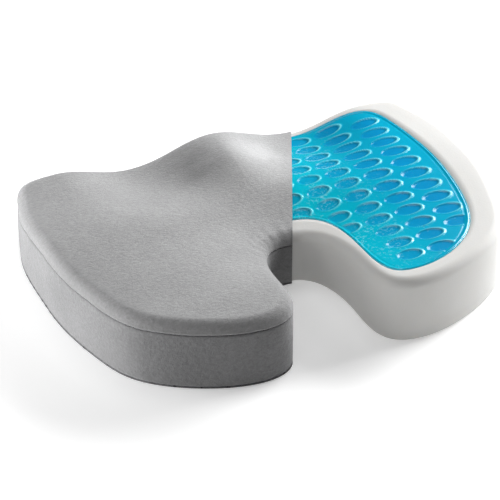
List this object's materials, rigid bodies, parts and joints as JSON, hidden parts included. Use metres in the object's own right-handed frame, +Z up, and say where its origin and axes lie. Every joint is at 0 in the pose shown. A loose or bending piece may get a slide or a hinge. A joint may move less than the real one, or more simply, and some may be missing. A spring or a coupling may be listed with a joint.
{
  "type": "seat cushion",
  "caption": "U-shaped coccyx seat cushion of moulded foam with a dimpled gel layer, and a velour cover cut away on one side, with zipper and carry handle.",
  "frame": {"origin": "centre of the width, midway between the front edge and the rear lobes, on the surface the cushion rests on", "axes": "+X across the width to the side where the cover is cut away, +Y to the front ridge and away from the rear notch, +Z up"},
  "size_m": [0.4528, 0.3504, 0.0722],
  "materials": {
    "foam": "soft matt moulded foam skin",
    "film": "clear blue glossy film",
    "gel": "glossy translucent blue gel",
    "velour_top": "short grey pile",
    "velour_band": "short grey pile",
    "base_fabric": "dark non-slip fabric with printed dots",
    "seam_thread": "twisted thread",
    "zipper_tape": "woven tape",
    "zipper_teeth": "moulded teeth",
    "zipper_thread": "twisted thread",
    "zipper_metal": "dark painted die-cast metal",
    "zipper_pull_metal": "dark painted metal",
    "patch_fabric": "woven webbing",
    "patch_thread": "twisted thread",
    "webbing": "ribbed woven webbing",
    "label": "blank satin label"
  },
  "bodies": {
    "cushion": {"foam_core": "foam", "gel_backing_film": "film", "gel_pad": "gel", "cover_top_panel": "velour_top", "cover_boxing": "velour_band", "cover_base_panel": "base_fabric", "top_seam_stitching": "seam_thread", "base_seam_stitching": "seam_thread", "zipper_tape_upper": "zipper_tape", "zipper_tape_lower": "zipper_tape", "zipper_teeth_upper": "zipper_teeth", "zipper_teeth_lower": "zipper_teeth", "zipper_stitching": "zipper_thread", "zipper_end_stops": "zipper_metal", "handle_end_patches": "patch_fabric", "handle_stitching": "patch_thread", "care_label": "label"},
    "slider": {"zipper_slider": "zipper_metal"},
    "pull": {"zipper_pull": "zipper_pull_metal"},
    "handle": {"handle_loop": "webbing"}
  },
  "joints": [
    {"name": "zipper_travel", "type": "slide", "parent": "cushion", "child": "slider", "axis": [1, 0, 0], "range_m": [-0.171, 0]},
    {"name": "pull_swing", "type": "hinge", "parent": "slider", "child": "pull", "pos_m": [0.04915, 0.16865, 0.009], "axis": [0, 0, 1], "range_deg": [0, 180]},
    {"name": "handle_swing", "type": "hinge", "parent": "cushion", "child": "handle", "pos_m": [0, 0.1668, 0.0265], "axis": [1, 0, 0], "range_deg": [-25, 60]}
  ]
}
